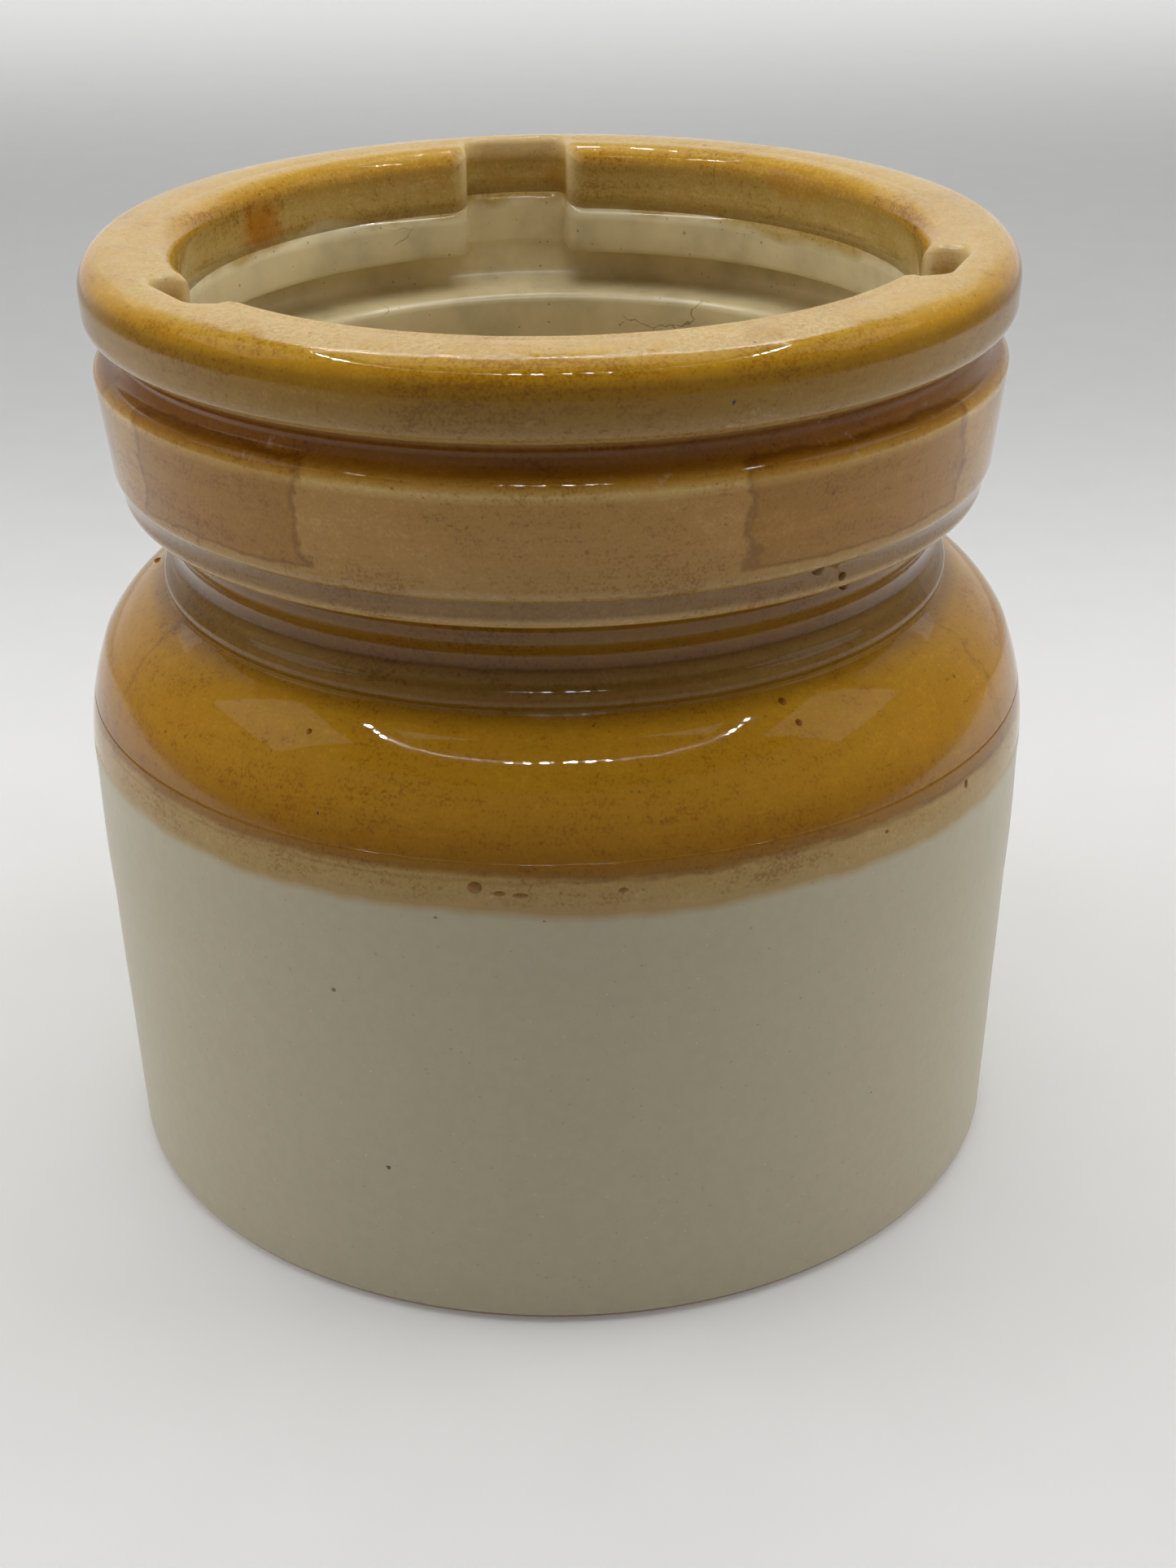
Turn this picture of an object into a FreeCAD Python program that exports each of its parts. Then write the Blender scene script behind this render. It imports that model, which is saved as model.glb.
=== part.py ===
import FreeCAD, Part
import os

V = FreeCAD.Vector
Z_AXIS = V(0, 0, 1)
ORIGIN = V(0, 0, 0)

# Driving dimensions in millimetres. The origin is the centre of the resting
# face, +Z is up, and -Y is the side opposite the first lug slot.
GLAZE = 0.4                    # thickness of every glaze coat
DIP_LINE_Z = 74.0              # height where the ochre coat ends on the outside
BORE_LINE_Z = 129.0            # height where the ochre coat ends in the mouth
BARE_FOOT_Z = 1.2              # below this height the foot is unglazed

FOOT_R = 65.2                  # edge of the resting face
FOOT_TOP_Z = 2.4               # where the rounded foot edge runs into the wall
WALL_FOOT_R = 67.8             # outside of the wall just above the foot
BELLY_R = 70.0                 # widest radius
BELLY_Z = 63.0                 # height of the widest radius
NECK_R = 57.2                  # crease where the shoulder meets the neck
NECK_Z = 89.7

TOP_Z = 139.1                  # overall height
RIM_R = 66.1                   # outside of the rolled rim
GROOVE_R = 61.8                # bottom of the groove under the rim
COLLAR_TOP_R = 65.1            # top corner of the collar
COLLAR_FOOT_R = 63.6           # bottom corner of the collar
RING_R = 62.4                  # ring below the collar
BORE_R = 52.2                  # clear bore of the mouth
FLANGE_FOOT_Z = 121.7          # underside of the flange the lid lugs turn under
CHANNEL_R = 59.5               # outside wall of the lug channel
LEDGE_Z = 116.1                # face the lid gasket sits on
LEDGE_R = 48.4                 # inner edge of that face
NECK_BORE_R = 49.0             # inside of the neck
CAVITY_R = 63.2                # widest inside radius
FLOOR_Z = 8.0                  # top of the floor

SLOT_AZIMUTHS = (95.5, 213.0, 337.5)   # degrees from +X, as the three slots sit
SLOT_WIDTH = 15.9              # between the two walls of one slot
SLOT_END_R = 59.0              # outer end of a slot
SLOT_START_R = 40.0            # inner end of the cutter, in the open mouth
SLOT_CORNER_R = 3.0            # upright corners at the outer end
SLOT_FLARE = 1.5               # how far the slot edges open out at the top

AXIS_MARGIN = 5.0              # the half section is drawn this far past the axis
FAR = 200.0                    # larger than the whole crock

# Points (r, z) along the middle of the wall, which part the three glaze coats.
MID_FOOT = [(65.0, BARE_FOOT_Z), (65.0, DIP_LINE_Z)]
MID_WALL = [
    (61.5, 78.5), (56.0, 86.3), (53.4, 91.0), (52.6, 98.0), (54.5, 103.0),
    (54.5, 113.0), (60.6, 114.2), (60.6, BORE_LINE_Z),
]


def point(rz):
    return V(rz[0], 0, rz[1])


def path_edges(start, steps):
    """Edges through steps; a step is (r, z) for a line or (mid, end) for an arc."""
    edges = []
    here = start
    for step in steps:
        if isinstance(step[0], tuple):
            mid, end = step
            edges.append(Part.Arc(point(here), point(mid), point(end)).toShape())
        else:
            end = step
            edges.append(Part.LineSegment(point(here), point(end)).toShape())
        here = end
    return edges


def foot_wall_and_shoulder():
    return [
        ((FOOT_R + 2.0, 0.7), (WALL_FOOT_R, FOOT_TOP_Z)),
        (69.4, 43.0),
        ((69.86, 53.0), (BELLY_R, BELLY_Z)),
        ((69.4, 73.6), (67.2, 80.8)),
        ((63.2, 85.8), (NECK_R, NECK_Z)),
    ]


def neck_and_collar():
    return [
        ((NECK_R + 0.5, 91.1), (56.5, 93.0)),
        ((55.6, 95.6), (56.4, 98.4)),
        (57.2, 102.2),
        (61.2, 103.2),
        ((62.1, 103.9), (RING_R, 105.0)),
        (RING_R, 107.0),
        ((63.2, 107.7), (COLLAR_FOOT_R, 109.0)),
        (COLLAR_TOP_R - 0.1, 121.4),
        ((COLLAR_TOP_R - 0.3, 122.9), (COLLAR_TOP_R - 1.6, 123.8)),
    ]


def groove_and_rim():
    return [
        ((GROOVE_R, 125.9), (63.4, 127.9)),
        ((RIM_R - 0.7, 129.2), (RIM_R - 0.1, 131.4)),
        (RIM_R, 133.4),
        ((64.9, 137.2), (61.4, TOP_Z - 0.2)),
        ((59.0, TOP_Z), (56.6, TOP_Z - 0.2)),
        ((53.3, TOP_Z - 1.1), (BORE_R, TOP_Z - 3.6)),
    ]


def flange_channel_and_ledge():
    return [
        (BORE_R, FLANGE_FOOT_Z + 1.0),
        ((BORE_R + 0.3, FLANGE_FOOT_Z + 0.3), (BORE_R + 1.0, FLANGE_FOOT_Z)),
        (CHANNEL_R - 1.0, FLANGE_FOOT_Z),
        ((CHANNEL_R - 0.3, FLANGE_FOOT_Z - 0.3), (CHANNEL_R, FLANGE_FOOT_Z - 1.0)),
        (CHANNEL_R, LEDGE_Z + 1.6),
        ((CHANNEL_R - 0.5, LEDGE_Z + 0.5), (CHANNEL_R - 1.6, LEDGE_Z)),
        (LEDGE_R + 1.4, LEDGE_Z),
        ((LEDGE_R + 0.4, LEDGE_Z - 0.4), (LEDGE_R, LEDGE_Z - 1.4)),
    ]


def cavity():
    return [
        (NECK_BORE_R, 96.0),
        ((50.6, 88.6), (54.6, 83.0)),
        ((60.9, 73.6), (CAVITY_R, 63.0)),
        (61.6, 18.0),
        ((58.6, FLOOR_Z + 2.8), (51.6, FLOOR_Z)),
        (-AXIS_MARGIN, FLOOR_Z),
        (-AXIS_MARGIN, 0.0),
        (FOOT_R, 0.0),
    ]


def half_section():
    """Outline out to the face of the glaze, drawn a little past the axis."""
    steps = foot_wall_and_shoulder() + neck_and_collar() + groove_and_rim()
    steps += flange_channel_and_ledge() + cavity()
    return Part.Face(Part.Wire(path_edges((FOOT_R, 0.0), steps)))


def polygon(corners):
    return Part.Face(Part.makePolygon([point(rz) for rz in corners + corners[:1]]))


def lining_zone():
    return polygon([(0.0, BARE_FOOT_Z)] + MID_FOOT + MID_WALL + [(0.0, BORE_LINE_Z)])


def cream_zone():
    return polygon(MID_FOOT + [(FAR, DIP_LINE_Z), (FAR, BARE_FOOT_Z)])


def ochre_zone():
    corners = MID_FOOT[1:] + MID_WALL + [(0.0, BORE_LINE_Z), (0.0, FAR)]
    return polygon(corners + [(FAR, FAR), (FAR, DIP_LINE_Z)])


def bare_foot_zone():
    return polygon([(-FAR, -FAR), (FAR, -FAR), (FAR, BARE_FOOT_Z), (-FAR, BARE_FOOT_Z)])


def right_side():
    return polygon([(0.0, -FAR), (FAR, -FAR), (FAR, FAR), (0.0, FAR)])


def revolve(section):
    """Solid of revolution of the one face that section holds."""
    if len(section.Faces) != 1:
        raise RuntimeError(f"section has {len(section.Faces)} faces, not one")
    return section.Faces[0].revolve(ORIGIN, Z_AXIS, 360)


def slot_outline(z, grow):
    """Rounded outline of one slot at height z, pointing along +X."""
    half = SLOT_WIDTH / 2 + grow
    end = SLOT_END_R + grow
    corner = SLOT_CORNER_R + grow
    bend = corner * (1 - 0.5 ** 0.5)
    a = V(SLOT_START_R, -half, z)
    b = V(end - corner, -half, z)
    c = V(end, -half + corner, z)
    d = V(end, half - corner, z)
    e = V(end - corner, half, z)
    f = V(SLOT_START_R, half, z)
    edges = [
        Part.LineSegment(a, b).toShape(),
        Part.Arc(b, V(end - bend, -half + bend, z), c).toShape(),
        Part.LineSegment(c, d).toShape(),
        Part.Arc(d, V(end - bend, half - bend, z), e).toShape(),
        Part.LineSegment(e, f).toShape(),
        Part.LineSegment(f, a).toShape(),
    ]
    return Part.Wire(edges)


def slot_cutter(azimuth, grow):
    """Upright prism with edges that open out where it meets the top of the rim."""
    low = FLANGE_FOOT_Z - 2.0
    prism = Part.Face(slot_outline(low, grow)).extrude(V(0, 0, TOP_Z - low + 2))
    flare_low = slot_outline(TOP_Z - SLOT_FLARE, grow)
    flare_top = slot_outline(TOP_Z + SLOT_FLARE, grow + 2 * SLOT_FLARE)
    cutter = prism.fuse(Part.makeLoft([flare_low, flare_top], True))
    cutter.rotate(ORIGIN, Z_AXIS, azimuth)
    return cutter


def slot_coat(azimuth, clay):
    """Glaze on the walls of one slot: what the slot takes from the clay, less the gap."""
    return clay.common(slot_cutter(azimuth, GLAZE)).cut(slot_cutter(azimuth, 0.0))


def z_slab(low, high):
    return Part.makeBox(2 * BELLY_R, 2 * BELLY_R, high - low, V(-BELLY_R, -BELLY_R, low))


def make_nodes():
    glazed = half_section()
    coat = glazed.cut(glazed.makeOffset2D(-GLAZE)).cut(bare_foot_zone())
    clay = revolve(glazed.cut(coat).common(right_side()))
    cream = revolve(coat.common(cream_zone()))
    lining = revolve(coat.common(lining_zone()))
    ochre = revolve(coat.common(ochre_zone()))
    slotted = clay
    for azimuth in SLOT_AZIMUTHS:
        gap = slot_cutter(azimuth, 0.0)
        walls = slot_coat(azimuth, clay)
        low_walls = walls.common(z_slab(0.0, BORE_LINE_Z))
        high_walls = walls.common(z_slab(BORE_LINE_Z, TOP_Z))
        slotted = slotted.cut(slot_cutter(azimuth, GLAZE))
        lining = lining.cut(gap).fuse(low_walls)
        ochre = ochre.cut(gap).fuse(high_walls)
    return {
        "stoneware_body": slotted,
        "lining_glaze": lining.removeSplitter(),
        "cream_glaze": cream,
        "ochre_glaze": ochre.removeSplitter(),
    }


os.makedirs("parts", exist_ok=True)
for node, shape in make_nodes().items():
    if len(shape.Solids) != 1:
        raise RuntimeError(f"{node} has {len(shape.Solids)} solids, not one")
    shape.Solids[0].exportStep(f"parts/{node}.step")
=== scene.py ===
"""Glazed stoneware butter crock: turned body, three glaze coats, kiln marks, lights and camera."""
import math

import bmesh
import bpy
import numpy as np
from bpy.props import FloatProperty, FloatVectorProperty, PointerProperty
from mathutils import Matrix, Vector


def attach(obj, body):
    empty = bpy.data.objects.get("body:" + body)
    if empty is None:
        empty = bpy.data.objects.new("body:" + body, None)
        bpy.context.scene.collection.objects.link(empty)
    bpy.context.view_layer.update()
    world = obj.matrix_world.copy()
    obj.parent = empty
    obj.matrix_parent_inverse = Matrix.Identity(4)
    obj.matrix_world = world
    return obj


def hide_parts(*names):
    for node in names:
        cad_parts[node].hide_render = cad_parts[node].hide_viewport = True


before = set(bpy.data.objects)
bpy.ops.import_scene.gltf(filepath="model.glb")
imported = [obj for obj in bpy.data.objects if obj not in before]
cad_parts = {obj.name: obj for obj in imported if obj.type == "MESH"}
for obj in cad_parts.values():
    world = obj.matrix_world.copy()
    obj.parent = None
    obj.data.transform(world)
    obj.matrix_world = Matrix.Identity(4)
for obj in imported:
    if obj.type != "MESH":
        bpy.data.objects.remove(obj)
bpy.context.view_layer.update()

bl_info = {
    "name": "Butter crock",
    "version": (1, 0, 0),
    "blender": (4, 5, 0),
    "location": "3D View > Sidebar > Crock",
    "description": "Models a glazed stoneware butter crock with a slotted mouth",
    "category": "Add Mesh",
}

MM = 0.001

# Sizes of the turned shape, in millimetres as (radius, height). A step with two points is an arc:
# a point half way along it, then its end. A step with one point is a straight run.
FOOT = ((67.2, 0.7), (67.8, 2.4))
FOOT_EDGE = (65.2, 0.0)
WALL = [
    ((69.4, 43.0),),
    ((69.86, 53.0), (70.0, 63.0)),
    ((69.4, 73.6), (67.2, 80.8)),
    ((63.2, 85.8), (57.2, 89.7)),
]
NECK = [
    ((57.7, 91.1), (56.5, 93.0)),
    ((55.6, 95.6), (56.4, 98.4)),
    ((57.2, 102.2),),
    ((61.2, 103.2),),
]
COLLAR = [
    ((62.1, 103.9), (62.4, 105.0)),
    ((62.4, 107.0),),
    ((63.2, 107.7), (63.6, 109.0)),
    ((65.0, 121.4),),
    ((64.8, 122.9), (63.5, 123.8)),
]
RIM = [
    ((61.8, 125.9), (63.4, 127.9)),
    ((65.4, 129.2), (66.0, 131.4)),
    ((66.1, 133.4),),
    ((64.9, 137.2), (61.4, 138.9)),
    ((59.0, 139.1), (56.6, 138.9)),
    ((53.3, 138.0), (52.2, 135.5)),
]
BORE = [((52.2, 122.7),)]
FLANGE_UNDERSIDE = [
    ((52.5, 122.0), (53.2, 121.7)),
    ((58.5, 121.7),),
    ((59.2, 121.4), (59.5, 120.7)),
]
CHANNEL_AND_LEDGE = [
    ((59.5, 117.7),),
    ((59.0, 116.6), (57.9, 116.1)),
    ((49.8, 116.1),),
    ((48.8, 115.7), (48.4, 114.7)),
]
CAVITY = [
    ((49.0, 96.0),),
    ((50.6, 88.6), (54.6, 83.0)),
    ((60.9, 73.6), (63.2, 63.0)),
    ((61.6, 18.0),),
    ((58.6, 10.8), (51.6, 8.0)),
    ((0.0, 8.0),),
]
DIP_LINE_Z = 74.0       # where the ochre coat and the cream coat are cut apart
BORE_LINE_Z = 129.0     # where the ochre coat and the lining are cut apart
BARE_FOOT_Z = 1.2       # clay left bare under the glaze
RIM_CREST_R = 61.4
BORE_R = 52.2
BORE_TOP_Z = 135.5
BORE_FOOT_Z = 122.7
CHANNEL_R = 59.5
CHANNEL_TOP_Z = 120.7

SLOT_AZIMUTHS = (95.5, 213.0, 337.5)    # degrees round from +X
SLOT_HALF_WIDTH = 7.95
SLOT_END_R = 59.0
SLOT_START_R = 40.0
SLOT_CORNER_R = 3.0
SLOT_BLEND = 2.5        # how widely the slot walls run out into the bore
TOP_ROUNDING = 1.25     # slot edge at the top of the rim
FOOT_ROUNDING = 1.2     # slot edge under the flange

COLUMNS = 328
COLUMN_GATHERING = 7.0  # how much closer the columns stand at the slot walls
GATHERING_WIDTH = 0.9   # degrees either side of a slot wall
SLOT_WALL_ANGLE = 8.3   # degrees from a slot's middle to its walls
CURVE_GAP = 0.6         # spacing of the rows on arcs
STRAIGHT_GAP = 2.2      # spacing of the rows on straight runs


# ---------------------------------------------------------------- turned shape

def arc(start, middle, end, gap):
    """Points after start on the arc through middle to end."""
    (ax, ay), (bx, by), (cx, cy) = start, middle, end
    d = 2 * (ax * (by - cy) + bx * (cy - ay) + cx * (ay - by))
    a2, b2, c2 = ax * ax + ay * ay, bx * bx + by * by, cx * cx + cy * cy
    ox = (a2 * (by - cy) + b2 * (cy - ay) + c2 * (ay - by)) / d
    oy = (a2 * (cx - bx) + b2 * (ax - cx) + c2 * (bx - ax)) / d
    radius = math.hypot(ax - ox, ay - oy)
    first = math.atan2(ay - oy, ax - ox)
    turn = math.remainder(math.atan2(cy - oy, cx - ox) - first, 2 * math.pi)
    half = math.remainder(math.atan2(by - oy, bx - ox) - first, 2 * math.pi)
    if half * turn < 0:
        turn -= math.copysign(2 * math.pi, turn)
    count = max(3, math.ceil(abs(turn) * radius / gap))
    return [(ox + radius * math.cos(first + turn * i / count),
             oy + radius * math.sin(first + turn * i / count)) for i in range(1, count + 1)]


def straight(start, end, gap):
    """Points after start on the straight run to end."""
    count = max(1, math.ceil(math.dist(start, end) / gap))
    return [(start[0] + (end[0] - start[0]) * i / count,
             start[1] + (end[1] - start[1]) * i / count) for i in range(1, count + 1)]


def trace(start, *parts, curve_gap=CURVE_GAP, straight_gap=STRAIGHT_GAP):
    """Profile points from start through all the steps of the parts."""
    points = [start]
    for step in [step for part in parts for step in part]:
        if len(step) == 2:
            points += arc(points[-1], step[0], step[1], curve_gap)
        else:
            points += straight(points[-1], step[0], straight_gap)
    return points


def cut(points, height, keep_above):
    """The run of a profile on one side of a height, ended exactly on it."""
    kept = []
    for a, b in zip(points, points[1:]):
        inside_a = (a[1] >= height) == keep_above
        inside_b = (b[1] >= height) == keep_above
        if inside_a and not kept:
            kept.append(a)
        if inside_a != inside_b:
            t = (height - a[1]) / (b[1] - a[1])
            kept.append((a[0] + (b[0] - a[0]) * t, height))
        if inside_b:
            kept.append(b)
    return kept


def slot_distance(x, y):
    """Plan distance in mm from the nearest slot's outline, negative inside it."""
    nearest = np.full(np.shape(x), 1e3)
    middle = (SLOT_START_R + SLOT_END_R) / 2
    for azimuth in SLOT_AZIMUTHS:
        c, s = math.cos(math.radians(azimuth)), math.sin(math.radians(azimuth))
        along = np.abs(x * c + y * s - middle) - (SLOT_END_R - middle - SLOT_CORNER_R)
        across = np.abs(y * c - x * s) - (SLOT_HALF_WIDTH - SLOT_CORNER_R)
        out = np.hypot(np.maximum(along, 0), np.maximum(across, 0))
        within = np.minimum(np.maximum(along, across), 0)
        nearest = np.minimum(nearest, out + within - SLOT_CORNER_R)
    return nearest


def mouth_radius(azimuth):
    """How far out the mouth reaches at each azimuth, slots and their blends included."""
    radii = np.linspace(BORE_R - 0.5, SLOT_END_R + 0.5, 421)[None, :]
    bore = radii - BORE_R
    slot = slot_distance(radii * np.cos(azimuth)[:, None], radii * np.sin(azimuth)[:, None])
    blend = np.maximum(SLOT_BLEND - np.abs(bore - slot), 0) / SLOT_BLEND
    inside = np.minimum(bore, slot) - blend ** 2 * SLOT_BLEND / 4
    last = radii.shape[1] - 1 - np.argmax(inside[:, ::-1] < 0, axis=1)
    last = np.clip(last, 0, radii.shape[1] - 2)
    row = np.arange(len(azimuth))
    d0, d1 = inside[row, last], inside[row, last + 1]
    share = np.clip(-d0 / np.maximum(d1 - d0, 1e-9), 0, 1)
    return radii[0, last] + share * (radii[0, 1] - radii[0, 0])


def rounding(distance, radius):
    """Drop of a rounded edge at a plan distance from it."""
    gap = np.clip(radius - distance, 0, radius)
    return radius - np.sqrt(radius ** 2 - gap ** 2)


RIM_POINTS = trace((66.1, 133.4), RIM[3:])
RIM_TOP = sorted(p for p in RIM_POINTS if p[0] <= RIM_CREST_R + 0.01)
UNDERSIDE_POINTS = trace((BORE_R, BORE_FOOT_Z), FLANGE_UNDERSIDE)


def rim_top_height(r):
    return np.interp(r, [p[0] for p in RIM_TOP], [p[1] for p in RIM_TOP])


def underside_height(r):
    return np.interp(r, [p[0] for p in UNDERSIDE_POINTS], [p[1] for p in UNDERSIDE_POINTS])


def gather_columns(azimuth):
    """Moves evenly spaced columns closer together at the slot walls."""
    turn = np.linspace(-math.pi, math.pi, 7201)
    density = np.ones_like(turn)
    width = math.radians(GATHERING_WIDTH)
    for slot in SLOT_AZIMUTHS:
        for side in (-SLOT_WALL_ANGLE, SLOT_WALL_ANGLE):
            gap = np.remainder(turn - math.radians(slot + side) + math.pi, 2 * math.pi) - math.pi
            density += COLUMN_GATHERING * np.exp(-(gap / width) ** 2)
    total = np.concatenate([[0], np.cumsum((density[1:] + density[:-1]) / 2)])
    even = total / total[-1] * 2 * math.pi - math.pi
    return np.interp(azimuth, even, turn)


def shape_mouth(r, z, azimuth):
    """Opens the three lug slots in the turned rim by moving its rows out to their outline."""
    columns, which = np.unique(azimuth.round(6), return_inverse=True)
    reach = mouth_radius(columns)[which]
    x_edge, y_edge = reach * np.cos(azimuth), reach * np.sin(azimuth)
    near_edge = np.maximum(slot_distance(x_edge, y_edge), 0)
    edge_top = rim_top_height(reach) - rounding(near_edge, TOP_ROUNDING)
    edge_foot = underside_height(reach) + rounding(near_edge, FOOT_ROUNDING)
    tiny = 1e-3

    top = (r <= RIM_CREST_R + tiny) & (z >= BORE_TOP_Z - tiny)
    share = (RIM_CREST_R - r) / (RIM_CREST_R - BORE_R)
    r_top = RIM_CREST_R - share * (RIM_CREST_R - reach)
    d_top = np.maximum(slot_distance(r_top * np.cos(azimuth), r_top * np.sin(azimuth)), 0)
    z_top = rim_top_height(r_top) - rounding(d_top, TOP_ROUNDING)

    under = (r >= BORE_R - tiny) & (r <= CHANNEL_R + tiny)
    under &= (z <= BORE_FOOT_Z + tiny) & (z >= CHANNEL_TOP_Z - tiny)
    share = (CHANNEL_R - r) / (CHANNEL_R - BORE_R)
    r_under = CHANNEL_R - share * (CHANNEL_R - reach)
    d_under = np.maximum(slot_distance(r_under * np.cos(azimuth), r_under * np.sin(azimuth)), 0)
    z_under = underside_height(r_under) + rounding(d_under, FOOT_ROUNDING)

    wall = (np.abs(r - BORE_R) < tiny) & (z < BORE_TOP_Z - tiny) & (z > BORE_FOOT_Z + tiny)
    share = (z - BORE_FOOT_Z) / (BORE_TOP_Z - BORE_FOOT_Z)
    z_wall = edge_foot + share * (edge_top - edge_foot)

    r_new = np.where(top, r_top, np.where(under, r_under, np.where(wall, reach, r)))
    z_new = np.where(top, z_top, np.where(under, z_under, np.where(wall, z_wall, z)))
    return r_new, z_new


def hand_turned(r, z, azimuth):
    """Slight unevenness of a pot thrown and trimmed by hand, always inwards of the true size."""
    sway = 0.5 + 0.5 * np.sin(azimuth * 2 + 0.7)
    wave = 0.5 + 0.5 * np.sin(azimuth * 3 - z / 31 + 2.1)
    ripple = 0.5 + 0.5 * np.sin(z / 2.9 + np.sin(azimuth * 2) * 0.8)
    on_wall = np.clip((88 - z) / 12, 0, 1)
    outside = np.clip((r - 50) / 12, 0, 1)
    return r - (0.10 * sway + 0.08 * wave + 0.035 * ripple * on_wall) * outside


def turned(points):
    """Spins a profile into a skin, gathers its columns and opens the slots."""
    bm = bmesh.new()
    verts = [bm.verts.new((r * MM, 0, z * MM)) for r, z in points]
    edges = [bm.edges.new(pair) for pair in zip(verts, verts[1:])]
    bmesh.ops.spin(bm, geom=verts + edges, cent=(0, 0, 0), axis=(0, 0, 1), dvec=(0, 0, 0),
                   angle=2 * math.pi, steps=COLUMNS, use_merge=True, use_duplicate=False)
    bmesh.ops.remove_doubles(bm, verts=bm.verts, dist=1e-6)
    co = np.array([v.co for v in bm.verts]) / MM
    r, z = np.hypot(co[:, 0], co[:, 1]), co[:, 2]
    azimuth = gather_columns(np.arctan2(co[:, 1], co[:, 0]))
    r, z = shape_mouth(r, z, azimuth)
    r = hand_turned(r, z, azimuth)
    x, y = r * np.cos(azimuth), r * np.sin(azimuth)
    edge = slot_distance(x, y)
    # Lighter band at the slot walls and their top edges: partly glaze thinned on the edges, partly
    # painted highlight.
    upright = np.exp(-((r - BORE_R - 0.7) / 1.2) ** 2 - (edge / 1.4) ** 2) * (z > BORE_FOOT_Z)
    upper = np.exp(-(edge / 1.1) ** 2) * np.clip((z - BORE_TOP_Z) / 2, 0, 1)
    layer = bm.verts.layers.float.new("thin_glaze_and_edge_highlight")
    for v, px, py, pz, thin_glaze_and_highlight in zip(bm.verts, x, y, z, np.maximum(upright, upper)):
        v.co = Vector((px, py, pz)) * MM
        v[layer] = thin_glaze_and_highlight
    bmesh.ops.recalc_face_normals(bm, faces=bm.faces)
    return bm


def add_piece(name, bm, material, node_names):
    """Turns a finished mesh into the visible piece for the CAD nodes it stands for."""
    for face in bm.faces:
        face.smooth = True
    mesh = bpy.data.meshes.new(name)
    bm.to_mesh(mesh)
    bm.free()
    piece = bpy.data.objects.new(name, mesh)
    bpy.context.scene.collection.objects.link(piece)
    mesh.materials.append(material)
    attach(piece, "root")
    if node_names:
        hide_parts(*node_names)
    return piece


def outward(bm, away_from_axis):
    """Turns an open coat so that its faces look away from the clay."""
    bm.normal_update()
    widest = max(bm.faces, key=lambda f: f.calc_center_median().xy.length)
    centre = widest.calc_center_median()
    looks_out = widest.normal.dot(Vector((centre.x, centre.y, 0))) > 0
    if looks_out != away_from_axis:
        bmesh.ops.reverse_faces(bm, faces=bm.faces)


def thicken(piece, thickness):
    coat = piece.modifiers.new("Glaze_thickness", "SOLIDIFY")
    coat.thickness = thickness
    coat.offset = -1.0
    coat.use_rim = True


# ---------------------------------------------------------------- node helpers

class Nodes:
    """Adds nodes to one tree and links or sets their inputs."""

    def __init__(self, tree):
        self.tree = tree

    def add(self, kind, *inputs, named=None, **settings):
        node = self.tree.nodes.new(kind)
        for key, value in settings.items():
            setattr(node, key, value)
        pairs = [(node.inputs[i], v) for i, v in enumerate(inputs) if v is not None]
        pairs += [(node.inputs[k], v) for k, v in (named or {}).items()]
        for socket, value in pairs:
            if isinstance(value, bpy.types.NodeSocket):
                self.tree.links.new(value, socket)
            else:
                socket.default_value = value
        return node

    def math(self, operation, *inputs):
        return self.add("ShaderNodeMath", *inputs, operation=operation).outputs[0]

    def step(self, value, low, high):
        """0 below low and 1 above high, smoothly; low may be above high to turn it round."""
        if isinstance(low, (int, float)) and isinstance(high, (int, float)) and low > high:
            out = self.step(value, high, low)
            return self.math("SUBTRACT", 1.0, out)
        node = self.add("ShaderNodeMapRange", interpolation_type="SMOOTHSTEP",
                        named={"Value": value, "From Min": low, "From Max": high})
        return node.outputs["Result"]

    def band(self, value, low, high, soft):
        """1 between low and high, with soft ends."""
        up = self.step(value, low - soft, low + soft)
        down = self.step(value, high + soft, high - soft)
        return self.math("MULTIPLY", up, down)

    def noise(self, vector, scale, detail=2.0, roughness=0.5, distortion=0.0):
        node = self.add("ShaderNodeTexNoise",
                        named={"Vector": vector, "Scale": scale, "Detail": detail,
                               "Roughness": roughness, "Distortion": distortion})
        return node.outputs["Fac"]

    def mix(self, factor, a, b, blend="MIX"):
        node = self.add("ShaderNodeMix", data_type="RGBA", blend_type=blend)
        for socket, value in ((node.inputs[0], factor), (node.inputs[6], a), (node.inputs[7], b)):
            if isinstance(value, bpy.types.NodeSocket):
                self.tree.links.new(value, socket)
            else:
                socket.default_value = value
        return node.outputs[2]

    def stretch(self, vector, scale):
        return self.add("ShaderNodeMapping", named={"Vector": vector, "Scale": scale}).outputs[0]

    def ramp(self, factor, stops):
        """Colours blended between (position, colour) stops."""
        node = self.add("ShaderNodeValToRGB", factor)
        elements = node.color_ramp.elements
        while len(elements) < len(stops):
            elements.new(0.5)
        for element, (position, colour) in zip(elements, stops):
            element.position = position
            element.color = colour
        return node.outputs["Color"]


def new_group(name, sockets_in, sockets_out):
    """An empty node group with named inputs and outputs; gives its nodes and its two ends."""
    group = bpy.data.node_groups.new(name, "ShaderNodeTree")
    for label, kind, value in sockets_in:
        socket = group.interface.new_socket(label, in_out="INPUT", socket_type=kind)
        socket.default_value = value
    for label, kind in sockets_out:
        group.interface.new_socket(label, in_out="OUTPUT", socket_type=kind)
    nodes = Nodes(group)
    start = nodes.add("NodeGroupInput")
    end = nodes.add("NodeGroupOutput")
    return group, nodes, start.outputs, end.inputs


FLOAT, COLOUR = "NodeSocketFloat", "NodeSocketColor"


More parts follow.
